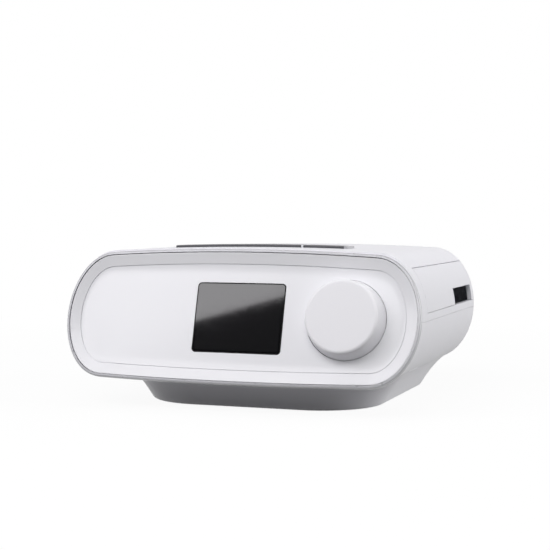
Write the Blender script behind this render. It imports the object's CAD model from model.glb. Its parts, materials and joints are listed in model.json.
"""Looks for the CPAP machine: camera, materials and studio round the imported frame.

Metres, in the frame's own axes: +Z up, the face looks along -Y, +X to the right of someone facing it.
"""
import json
from math import pi, radians

import bpy
from mathutils import Matrix, Vector

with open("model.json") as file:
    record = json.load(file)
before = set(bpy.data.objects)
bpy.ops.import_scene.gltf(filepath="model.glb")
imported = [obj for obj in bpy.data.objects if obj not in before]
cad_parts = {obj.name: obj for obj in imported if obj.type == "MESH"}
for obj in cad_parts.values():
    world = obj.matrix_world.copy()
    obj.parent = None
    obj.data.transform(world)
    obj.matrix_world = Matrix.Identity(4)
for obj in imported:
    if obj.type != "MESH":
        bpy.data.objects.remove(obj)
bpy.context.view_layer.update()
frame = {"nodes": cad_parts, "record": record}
nodes = frame["nodes"]
scene = bpy.context.scene
mm = 0.001


# ---------------------------------------------------------------- places on the face
dial_rise = 0.3 * mm             # dial's centre above the face's middle
field_end_centre = 71.55 * mm    # centres of the field's rounded ends
field_end_reach = 17.15 * mm
field_half_height = 27.59 * mm   # at the middle of the crowned long edges
field_crown = 0.309              # fall of those edges, by the squared distance from the middle
field_verge = 0.66               # where the field starts to curve up, as a share of its half size, squared
verge_end = 0.98                 # where it stops curving, just inside the groove
band_end = 1.015                 # where the band's tone is full, just past the groove
verge_depth = 0.35 * mm
window_half_width = 23.9 * mm
window_half_height = 18.1 * mm
window_corner = 2.0 * mm
window_border = 1.3 * mm         # printed black edge
border_blur = 0.1 * mm
window_bevel = 0.45 * mm         # dull ground edge
bevel_blur = 0.05 * mm


def middle_of(name):
    """Centre of a node's bounding box."""
    node = nodes[name]
    corners = [node.matrix_world @ Vector(corner) for corner in node.bound_box]
    return sum(corners, Vector()) / len(corners)


dial_joint = next(joint for joint in frame["record"]["behaviour"]["joints"] if joint["name"] == "dial_turn")
face_out = Vector(dial_joint["axis"])
face_up = face_out.cross(Vector((1, 0, 0)))
face_middle = Vector((0, *dial_joint["pos_m"][1:])) - face_up * dial_rise


# ---------------------------------------------------------------- camera
camera_place = Vector((241.9, -677.5, 100.0)) * mm
camera_right = Vector((0.9409, 0.3386, 0.0004))    # across the picture
camera_back = Vector((0.3383, -0.9399, 0.0458))    # away from what it looks at
camera_lens = 85.2               # millimetres
camera_sensor = 36.0             # millimetres
camera_reach = 30.0              # metres that it sees


def looking(place, right, back):
    """World matrix of a camera or lamp that looks against back, with right across its picture."""
    up = back.cross(right)
    return Matrix.Translation(place) @ Matrix((right, up, back)).transposed().to_4x4()


def make_camera():
    """Camera at the photograph's viewing angle."""
    data = bpy.data.cameras.new("camera")
    data.sensor_width = camera_sensor
    data.lens = camera_lens
    data.clip_end = camera_reach
    camera = bpy.data.objects.new("camera", data)
    camera.matrix_world = looking(camera_place, camera_right, camera_back)
    scene.collection.objects.link(camera)
    scene.camera = camera


make_camera()


# ---------------------------------------------------------------- material helpers
bevel_samples = 4                # rays that feel for an edge


def new_material(name):
    """A node material with its principled shader and a shared object-space coordinate."""
    material = bpy.data.materials.new(name)
    material.use_nodes = True
    tree = material.node_tree
    shader = tree.nodes["Principled BSDF"]
    place = tree.nodes.new("ShaderNodeTexCoord").outputs["Object"]
    return material, tree, shader, place


def feed(tree, value, socket):
    """Links a socket to another, or sets it to a number, a vector or a colour."""
    if isinstance(value, bpy.types.NodeSocket):
        tree.links.new(value, socket)
    elif socket.type == "RGBA":
        socket.default_value = (*value, 1)
    else:
        socket.default_value = value


def set_inputs(tree, node, values):
    """Feeds a node's sockets by their names."""
    for name, value in values.items():
        feed(tree, value, node.inputs[name])


def maths(tree, operation, first, second=0.0):
    """One step of arithmetic on values."""
    node = tree.nodes.new("ShaderNodeMath")
    node.operation = operation
    feed(tree, first, node.inputs[0])
    feed(tree, second, node.inputs[1])
    return node.outputs[0]


def vector_maths(tree, operation, first, second, output):
    """One step of arithmetic on coordinates, with the output that is asked for."""
    node = tree.nodes.new("ShaderNodeVectorMath")
    node.operation = operation
    feed(tree, first, node.inputs[0])
    feed(tree, second, node.inputs[1])
    return node.outputs[output]


def squared(tree, value):
    """A value times itself."""
    return maths(tree, "MULTIPLY", value, value)


def past(tree, value, limit):
    """How far a value goes past a limit, and 0 before it."""
    return maths(tree, "MAXIMUM", maths(tree, "SUBTRACT", value, limit), 0.0)


def apart(tree, value, centre):
    """Distance of a value from a centre."""
    return maths(tree, "ABSOLUTE", maths(tree, "SUBTRACT", value, centre))


def noise(tree, place, size, detail=3.0, grit=0.5):
    """Noise whose features are about size metres across; grit is how much its finer layers count."""
    node = tree.nodes.new("ShaderNodeTexNoise")
    set_inputs(tree, node, {"Vector": place, "Scale": 1 / size, "Detail": detail, "Roughness": grit})
    return node.outputs["Fac"]


def cells(tree, place, size, feature="F1"):
    """Distance inside cells about size metres across."""
    node = tree.nodes.new("ShaderNodeTexVoronoi")
    node.feature = feature
    set_inputs(tree, node, {"Vector": place, "Scale": 1 / size})
    return node.outputs["Distance"]


def stretched(tree, place, scale, turn=(0, 0, 0)):
    """The same coordinate, turned by degrees and scaled, both by axis."""
    node = tree.nodes.new("ShaderNodeMapping")
    rotation = [radians(angle) for angle in turn]
    set_inputs(tree, node, {"Vector": place, "Scale": scale, "Rotation": rotation})
    return node.outputs["Vector"]


def ramp(tree, value, low, high, start=0.0, end=1.0, shape="LINEAR"):
    """Maps values from start to end onto low to high."""
    node = tree.nodes.new("ShaderNodeMapRange")
    node.interpolation_type = shape
    limits = {"From Min": start, "From Max": end, "To Min": low, "To Max": high}
    set_inputs(tree, node, {"Value": value, **limits})
    return node.outputs["Result"]


def patches(tree, place, size, low, high, start=0.3, end=0.7, detail=4.0, grit=0.5):
    """Noise from start to end, spread over low to high."""
    return ramp(tree, noise(tree, place, size, detail, grit), low, high, start, end)


def blend_colours(tree, value, first, second):
    """A colour between two by a value; each is a colour or a socket."""
    node = tree.nodes.new("ShaderNodeMix")
    node.data_type = "RGBA"
    set_inputs(tree, node, {"Factor": value, "A": first, "B": second})
    return node.outputs["Result"]


def bump(tree, height, distance):
    """A normal for a surface that a height of 1 raises by the distance."""
    node = tree.nodes.new("ShaderNodeBump")
    set_inputs(tree, node, {"Height": height, "Distance": distance})
    return node.outputs["Normal"]


def edges(tree, place, radius):
    """1 along worn edges, 0 on flats, broken up by noise."""
    chip_size = 2.5 * mm
    round_off = tree.nodes.new("ShaderNodeBevel")
    round_off.samples = bevel_samples
    feed(tree, radius, round_off.inputs["Radius"])
    flat = tree.nodes.new("ShaderNodeNewGeometry").outputs["Normal"]
    match = vector_maths(tree, "DOT_PRODUCT", round_off.outputs["Normal"], flat, "Value")
    edge = ramp(tree, match, 1.0, 0.0, start=0.86, end=0.995)
    chipped = patches(tree, place, chip_size, low=0.2, high=1.0, start=0.35, end=0.65)
    return maths(tree, "MULTIPLY", edge, chipped)


def scaled(colour, gain):
    """A colour made darker or lighter, up to white."""
    return tuple(min(1.0, channel * gain) for channel in colour)


def shades(colour, mottle):
    """A darker and a lighter neighbour of a colour."""
    return scaled(colour, 1 - 2 * mottle), scaled(colour, 1 + mottle)


# ---------------------------------------------------------------- materials
dust_colour = (0.42, 0.41, 0.39)
tarnish_colour = (0.36, 0.32, 0.27)
tin_colour = (0.62, 0.60, 0.55)
caught_dust_colour = (0.30, 0.28, 0.25)
print_black = (0.003, 0.003, 0.0035)
unlit_dark = (0.0100, 0.0100, 0.0110)
unlit_light = (0.0125, 0.0125, 0.0135)


def moulded_plastic(name, colour, roughness, grain=0.25 * mm, depth=0.004 * mm, specular=0.5, mottle=0.02,
                    wear=0.06, edge_gain=1.12, dust=0.0):
    """Moulded plastic: spark texture, tone drift, handling smears, polished edges and, where asked, dust."""
    drift_size = 38 * mm
    fleck_size = 0.5 * mm
    edge_width = 0.35 * mm
    film_size = 14 * mm
    smear_size = 9 * mm
    streak_size = 26 * mm
    fleck_gain = 6
    edge_share = 0.6
    coarse_gain = 5
    coarse_share = 0.6
    material, tree, shader, place = new_material(name)
    darker, lighter = shades(colour, mottle)
    tone = blend_colours(tree, noise(tree, place, drift_size, detail=2.0), darker, lighter)
    fleck = patches(tree, place, fleck_size, low=0.0, high=fleck_gain * mottle, start=0.62, end=0.8,
                    detail=2.0)
    tone = blend_colours(tree, fleck, tone, darker)
    edge = edges(tree, place, edge_width)
    worn = maths(tree, "MULTIPLY", edge, edge_share)
    tone = blend_colours(tree, worn, tone, scaled(colour, edge_gain))
    if dust:
        film = patches(tree, place, film_size, low=0.0, high=dust, start=0.5, end=0.8, detail=6.0, grit=0.65)
        tone = blend_colours(tree, film, tone, dust_colour)
    smear = patches(tree, place, smear_size, roughness - wear, roughness + wear, detail=5.0, grit=0.6)
    drawn_out = stretched(tree, place, (1.0, 1.0, 7.0), turn=(0, 32, 12))
    streak = patches(tree, drawn_out, streak_size, low=0.0, high=wear, start=0.58, end=0.75, detail=6.0,
                     grit=0.7)
    smear = maths(tree, "ADD", smear, streak)
    smear = maths(tree, "SUBTRACT", smear, maths(tree, "MULTIPLY", edge, wear))
    fine = noise(tree, place, grain, detail=2.0)
    coarse = noise(tree, place, coarse_gain * grain, detail=2.0)
    texture = maths(tree, "ADD", fine, maths(tree, "MULTIPLY", coarse, coarse_share))
    set_inputs(tree, shader, {
        "Base Color": tone,
        "Roughness": smear,
        "Specular IOR Level": specular,
        "Normal": bump(tree, texture, depth),
    })
    return material


def painted_trim(name, colour):
    """Silver paint: fine metal flakes under a smooth lacquer, paler on the edges."""
    flake_size = 0.12 * mm
    edge_width = 0.25 * mm
    smear_size = 7 * mm
    ripple_size = 0.3 * mm
    ripple_depth = 0.001 * mm
    edge_gain = 1.12
    material, tree, shader, place = new_material(name)
    darker, lighter = shades(colour, mottle=0.08)
    flake = ramp(tree, cells(tree, place, flake_size), 0.0, 1.0, start=0.1, end=0.7)
    tone = blend_colours(tree, flake, lighter, darker)
    tone = blend_colours(tree, edges(tree, place, edge_width), tone, scaled(colour, edge_gain))
    set_inputs(tree, shader, {
        "Base Color": tone,
        "Metallic": 0.25,
        "Roughness": patches(tree, place, smear_size, low=0.26, high=0.38),
        "Coat Weight": 0.3,
        "Coat Roughness": 0.12,
        "Normal": bump(tree, noise(tree, place, ripple_size, detail=2.0), ripple_depth),
    })
    return material


def face_place(tree, place):
    """Place across and up the leaning face, from its middle."""
    split = tree.nodes.new("ShaderNodeSeparateXYZ")
    tree.links.new(place, split.inputs[0])
    from_middle = vector_maths(tree, "SUBTRACT", place, face_middle, "Vector")
    return split.outputs["X"], vector_maths(tree, "DOT_PRODUCT", from_middle, face_up, "Value")


def face_panel(name, colour, band_tone):
    """Glossy panel: a greyer outer band past the fine groove, and a field that curves up to the groove."""
    verge_share = 0.5
    material = moulded_plastic(name, colour, roughness=0.20, depth=0.0004 * mm, specular=0.45, mottle=0.004,
                               edge_gain=1.04, wear=0.02)
    tree = material.node_tree
    shader = tree.nodes["Principled BSDF"]
    across, up = face_place(tree, tree.nodes["Texture Coordinate"].outputs["Object"])
    across = maths(tree, "ABSOLUTE", across)
    near = maths(tree, "MINIMUM", across, field_end_centre)
    fall = maths(tree, "MULTIPLY", squared(tree, near), field_crown)
    half_height = maths(tree, "SUBTRACT", field_half_height, fall)
    along = maths(tree, "DIVIDE", past(tree, across, field_end_centre), field_end_reach)
    above = maths(tree, "DIVIDE", up, half_height)
    reach = maths(tree, "ADD", squared(tree, along), squared(tree, above))
    band = ramp(tree, reach, 0.0, 1.0, start=1.0, end=band_end)
    verge = ramp(tree, reach, 0.0, 1.0, start=field_verge, end=verge_end)
    tone = shader.inputs["Base Color"].links[0].from_socket
    greyer = scaled(colour, band_tone)
    tone = blend_colours(tree, maths(tree, "MULTIPLY", verge, verge_share), tone, greyer)
    feed(tree, blend_colours(tree, band, tone, greyer), shader.inputs["Base Color"])
    texture = shader.inputs["Normal"].links[0].from_node
    feed(tree, bump(tree, squared(tree, verge), verge_depth), texture.inputs["Normal"])
    return material


def display_window(name):
    """Polished window: a printed black border round a dark display, with faint finger marks."""
    drift_size = 20 * mm
    mark_size = 8 * mm
    ripple_size = 22 * mm
    ripple_depth = 0.0025 * mm
    bevel_dullness = 0.5
    material, tree, shader, place = new_material(name)
    across, up = face_place(tree, place)
    centre = middle_of("screen_window")
    side = apart(tree, across, centre.x)
    rise = apart(tree, up, (centre - face_middle).dot(face_up))
    past_side = past(tree, side, window_half_width - window_corner)
    past_rise = past(tree, rise, window_half_height - window_corner)
    square = maths(tree, "ADD", squared(tree, past_side), squared(tree, past_rise))
    outward = maths(tree, "SQRT", square)
    border_start = window_corner - window_border
    bevel_start = window_corner - window_bevel
    border = ramp(tree, outward, 0.0, 1.0, border_start - border_blur, border_start + border_blur)
    bevel = ramp(tree, outward, 0.0, 1.0, bevel_start - bevel_blur, bevel_start + bevel_blur)
    panel = blend_colours(tree, noise(tree, place, drift_size), unlit_dark, unlit_light)
    drawn_out = stretched(tree, place, (1.0, 1.0, 2.5), turn=(0, 40, 0))
    marks = patches(tree, drawn_out, mark_size, low=0.04, high=0.07, start=0.5, end=0.8, detail=6.0,
                    grit=0.7)
    set_inputs(tree, shader, {
        "Base Color": blend_colours(tree, border, panel, print_black),
        "Roughness": maths(tree, "ADD", marks, maths(tree, "MULTIPLY", bevel, bevel_dullness)),
        "Specular IOR Level": ramp(tree, bevel, low=0.5, high=0.05),
        "IOR": 1.7,
        "Normal": bump(tree, noise(tree, place, ripple_size, detail=1.0), ripple_depth),
    })
    return material


def machined_steel(name, colour):
    """Turned and brushed steel: fine lines and a faint warm tarnish."""
    line_size = 2.0 * mm
    line_depth = 0.006 * mm
    tarnish_size = 6 * mm
    material, tree, shader, place = new_material(name)
    darker, lighter = shades(colour, mottle=0.08)
    lines = noise(tree, stretched(tree, place, (1.0, 18.0, 18.0)), line_size, detail=6.0, grit=0.7)
    tone = blend_colours(tree, lines, darker, lighter)
    tarnish = patches(tree, place, tarnish_size, low=0.0, high=0.35, start=0.5, end=0.75)
    set_inputs(tree, shader, {
        "Base Color": blend_colours(tree, tarnish, tone, tarnish_colour),
        "Metallic": 1.0,
        "Roughness": ramp(tree, lines, low=0.22, high=0.42, start=0.3, end=0.7),
        "Normal": bump(tree, lines, line_depth),
    })
    return material


def circuit_board(name, colour):
    """Solder mask over copper: tracks that show through it, and tinned through holes."""
    ground_size = 12 * mm
    hole_spacing = 4.2 * mm
    smear_size = 4 * mm
    track_depth = 0.03 * mm
    copper_gain = 1.8
    material, tree, shader, place = new_material(name)
    darker, lighter = shades(colour, mottle=0.2)
    tracks = tree.nodes.new("ShaderNodeTexBrick")
    tracks.offset = 0.37
    tracks.squash = 0.6
    set_inputs(tree, tracks, {
        "Vector": stretched(tree, place, (1.0, 1.0, 1.0), turn=(45, 0, 45)),
        "Scale": 1.0,
        "Mortar Size": 0.13 * mm,
        "Brick Width": 7 * mm,
        "Row Height": 1.3 * mm,
    })
    tone = blend_colours(tree, noise(tree, place, ground_size), darker, colour)
    tone = blend_colours(tree, tracks.outputs["Fac"], tone, scaled(lighter, copper_gain))
    hole = ramp(tree, cells(tree, place, hole_spacing), 1.0, 0.0, start=0.09, end=0.11)
    set_inputs(tree, shader, {
        "Base Color": blend_colours(tree, hole, tone, tin_colour),
        "Metallic": hole,
        "Roughness": patches(tree, place, smear_size, low=0.28, high=0.42, detail=3.0),
        "Normal": bump(tree, tracks.outputs["Fac"], track_depth),
    })
    return material


def fibre_mat(name, colour):
    """Needled filter fibre: crossed strands, patches of caught dust and a soft sheen."""
    strand_size = 4 * mm
    strand_depth = 0.25 * mm
    dust_size = 10 * mm
    material, tree, shader, place = new_material(name)
    darker, lighter = shades(colour, mottle=0.12)
    one_way = stretched(tree, place, (9.0, 1.0, 9.0), turn=(0, 25, 30))
    other_way = stretched(tree, place, (9.0, 9.0, 1.0), turn=(50, 0, 20))
    layers = [noise(tree, way, strand_size, detail=5.0, grit=0.7) for way in (one_way, other_way)]
    strands = maths(tree, "MAXIMUM", *layers)
    tone = blend_colours(tree, ramp(tree, strands, 0.0, 1.0, start=0.45, end=0.7), darker, lighter)
    caught = patches(tree, place, dust_size, low=0.0, high=0.3, start=0.5, end=0.8, detail=5.0)
    set_inputs(tree, shader, {
        "Base Color": blend_colours(tree, caught, tone, caught_dust_colour),
        "Roughness": 0.95,
        "Sheen Weight": 0.4,
        "Normal": bump(tree, strands, strand_depth),
    })
    return material


def open_foam(name, colour):
    """Open-cell foam: pores between thin walls."""
    pore_size = 1.1 * mm
    pore_depth = 0.5 * mm
    smear_size = 9 * mm
    material, tree, shader, place = new_material(name)
    darker, lighter = shades(colour, mottle=0.3)
    walls = ramp(tree, cells(tree, place, pore_size, "DISTANCE_TO_EDGE"), 1.0, 0.0, start=0.02, end=0.3)
    set_inputs(tree, shader, {
        "Base Color": blend_colours(tree, walls, darker, lighter),
        "Roughness": patches(tree, place, smear_size, low=0.86, high=0.98, detail=3.0),
        "Sheen Weight": 0.2,
        "Normal": bump(tree, walls, pore_depth),
    })
    return material


# for each material slot, the function that makes it and its values
finishes = {
    "casing_white": (moulded_plastic, dict(colour=(0.81, 0.805, 0.85), roughness=0.34, depth=0.0015 * mm,
                                           specular=0.4, mottle=0.006, edge_gain=1.05, wear=0.03)),
    "face_white": (face_panel, dict(colour=(0.87, 0.87, 0.90), band_tone=0.90)),
    "dial_white": (moulded_plastic, dict(colour=(0.86, 0.855, 0.885), roughness=0.30, depth=0.001 * mm,
                                         specular=0.4, mottle=0.005, edge_gain=1.06, wear=0.02)),
    "trim_silver": (painted_trim, dict(colour=(0.50, 0.50, 0.525))),
    "bezel_white": (moulded_plastic, dict(colour=(0.80, 0.805, 0.83), roughness=0.40, depth=0.003 * mm,
                                          mottle=0.008, edge_gain=1.05)),
    "button_grey": (moulded_plastic, dict(colour=(0.085, 0.085, 0.095), roughness=0.40, edge_gain=1.7)),
    "screen_black": (display_window, {}),
    "display_dark": (moulded_plastic, dict(colour=(0.03, 0.03, 0.035), roughness=0.3, edge_gain=1.5)),
    "back_grey": (moulded_plastic, dict(colour=(0.10, 0.105, 0.115), roughness=0.50, grain=0.5 * mm,
                                        depth=0.02 * mm, edge_gain=1.4, dust=0.12)),
    "duct_grey": (moulded_plastic, dict(colour=(0.33, 0.34, 0.36), roughness=0.45, mottle=0.04,
                                        edge_gain=1.2, dust=0.15)),
    "soft_black": (moulded_plastic, dict(colour=(0.02, 0.02, 0.022), roughness=0.7, depth=0.02 * mm,
                                         edge_gain=2.0, dust=0.15)),
    "steel": (machined_steel, dict(colour=(0.56, 0.56, 0.57))),
    "board_green": (circuit_board, dict(colour=(0.02, 0.12, 0.05))),
    "component_black": (moulded_plastic, dict(colour=(0.025, 0.025, 0.028), roughness=0.45, edge_gain=2.0,
                                              dust=0.08)),
    "filter_fibre": (fibre_mat, dict(colour=(0.55, 0.60, 0.66))),
    "foam_grey": (open_foam, dict(colour=(0.07, 0.07, 0.075))),
}
materials = {slot: make(slot, **values) for slot, (make, values) in finishes.items()}
for entry in frame["record"]["subparts"]:
    mesh = nodes[entry["node"]].data
    mesh.materials.clear()
    mesh.materials.append(materials[entry["material_slot"]])


# ---------------------------------------------------------------- studio
reflected_share = 0.85           # how much of the white surroundings a reflection shows
floor_half = 6.0                 # from the middle to each side
flag_left = (-2.2, -1.5)         # foot of its left side, x and y
flag_right = (1.4, -1.9)
flag_top = 2.4
flag_colour = (0.02, 0.02, 0.02)
subject = Vector((0, 0, 0.05))   # what the lamps light


def soft_box(name, centre, aim, size, radiance, edge=None, tint=(1, 1, 1)):
    """A rectangular lamp that faces the aim point; its long edges are level or follow the edge direction."""
    width, height = size
    data = bpy.data.lights.new(name, "AREA")
    data.shape = "RECTANGLE"
    data.size = width
    data.size_y = height
    data.energy = pi * width * height * radiance
    data.color = tint
    back = (Vector(centre) - Vector(aim)).normalized()
    along = Vector(edge) if edge else Vector((0, 0, 1)).cross(back)
    right = (along - back * along.dot(back)).normalized()
    lamp = bpy.data.objects.new(name, data)
    lamp.matrix_world = looking(Vector(centre), right, back)
    scene.collection.objects.link(lamp)


def seen_directly(tree):
    """1 for camera and glass rays, a little less for reflections, 0 for the rest."""
    rays = tree.nodes.new("ShaderNodeLightPath")
    clear = maths(tree, "MAXIMUM", rays.outputs["Is Camera Ray"], rays.outputs["Is Transmission Ray"])
    mirrored = maths(tree, "MULTIPLY", rays.outputs["Is Glossy Ray"], reflected_share)
    return maths(tree, "MAXIMUM", clear, mirrored)


def make_world(horizon, zenith):
    """White to the eye; as a light it is dim at the horizon and brighter above."""
    world = bpy.data.worlds.new("studio")
    scene.world = world
    world.use_nodes = True
    tree = world.node_tree
    background = tree.nodes["Background"]
    background.inputs["Color"].default_value = (1, 1, 1, 1)
    direction = tree.nodes.new("ShaderNodeTexCoord").outputs["Generated"]
    split = tree.nodes.new("ShaderNodeSeparateXYZ")
    tree.links.new(direction, split.inputs[0])
    dome = ramp(tree, split.outputs["Z"], horizon, zenith)
    light = tree.nodes.new("ShaderNodeMix")
    set_inputs(tree, light, {"Factor": seen_directly(tree), "A": dome, "B": 1.0})
    tree.links.new(light.outputs["Result"], background.inputs["Strength"])


def sheet(name, corners, material):
    """A flat four-cornered piece of the studio."""
    mesh = bpy.data.meshes.new(name)
    mesh.from_pydata(corners, [], [(0, 1, 2, 3)])
    mesh.materials.append(material)
    piece = bpy.data.objects.new(name, mesh)
    scene.collection.objects.link(piece)
    return piece


def make_floor(bounce, near, far, veil):
    """A white floor that keeps a soft shadow near the object and fades into the white behind."""
    material, tree, shader, place = new_material("floor")
    seen = seen_directly(tree)
    set_inputs(tree, shader, {
        "Base Color": blend_colours(tree, seen, (bounce,) * 3, (1, 1, 1)),
        "Roughness": 0.9,
        "Specular IOR Level": 0.0,
    })
    away = vector_maths(tree, "LENGTH", place, (0, 0, 0), "Value")
    fade = ramp(tree, away, 0.0, 1.0, start=near, end=far, shape="SMOOTHSTEP")
    white = tree.nodes.new("ShaderNodeEmission")
    mix = tree.nodes.new("ShaderNodeMixShader")
    share = maths(tree, "MULTIPLY", ramp(tree, fade, low=veil, high=1.0), seen)
    feed(tree, share, mix.inputs["Fac"])
    tree.links.new(shader.outputs[0], mix.inputs[1])
    tree.links.new(white.outputs[0], mix.inputs[2])
    tree.links.new(mix.outputs[0], tree.nodes["Material Output"].inputs["Surface"])
    corners = [(x * floor_half, y * floor_half, 0) for x, y in ((-1, -1), (1, -1), (1, 1), (-1, 1))]
    floor = sheet("floor", corners, material)


def make_flag():
    """A dark studio flag behind the camera, for reflections alone."""
    material, tree, shader, _ = new_material("flag")
    set_inputs(tree, shader, {"Base Color": flag_colour, "Specular IOR Level": 0.0})
    corners = [(*flag_left, 0), (*flag_right, 0), (*flag_right, flag_top), (*flag_left, flag_top)]
    flag = sheet("flag", corners, material)
    flag.visible_camera = False
    flag.visible_diffuse = False
    flag.visible_shadow = False


make_world(horizon=0.04, zenith=0.36)
make_floor(bounce=0.20, near=0.16, far=0.60, veil=0.93)
make_flag()
# the key's lower edge is what the window reflects as a diagonal
soft_box("key", centre=(-0.580, -0.935, 0.945), aim=(-0.232, 0.083, 0.412), size=(1.0, 0.8), radiance=3.7,
         edge=(0.915, -0.110, 0.388), tint=(0.99, 0.975, 1.0))
soft_box("fill", centre=(0.30, -1.25, 0.95), aim=subject, size=(0.8, 0.6), radiance=4.9)
soft_box("top", centre=(0.1, 0.1, 1.5), aim=subject, size=(1.6, 1.4), radiance=0.3)
soft_box("side", centre=(1.40, 0.45, 0.55), aim=subject, size=(1.5, 1.1), radiance=2.9)
soft_box("left", centre=(-1.5, -0.25, 0.35), aim=subject, size=(1.0, 0.7), radiance=1.2)

scene.view_settings.view_transform = "Standard"
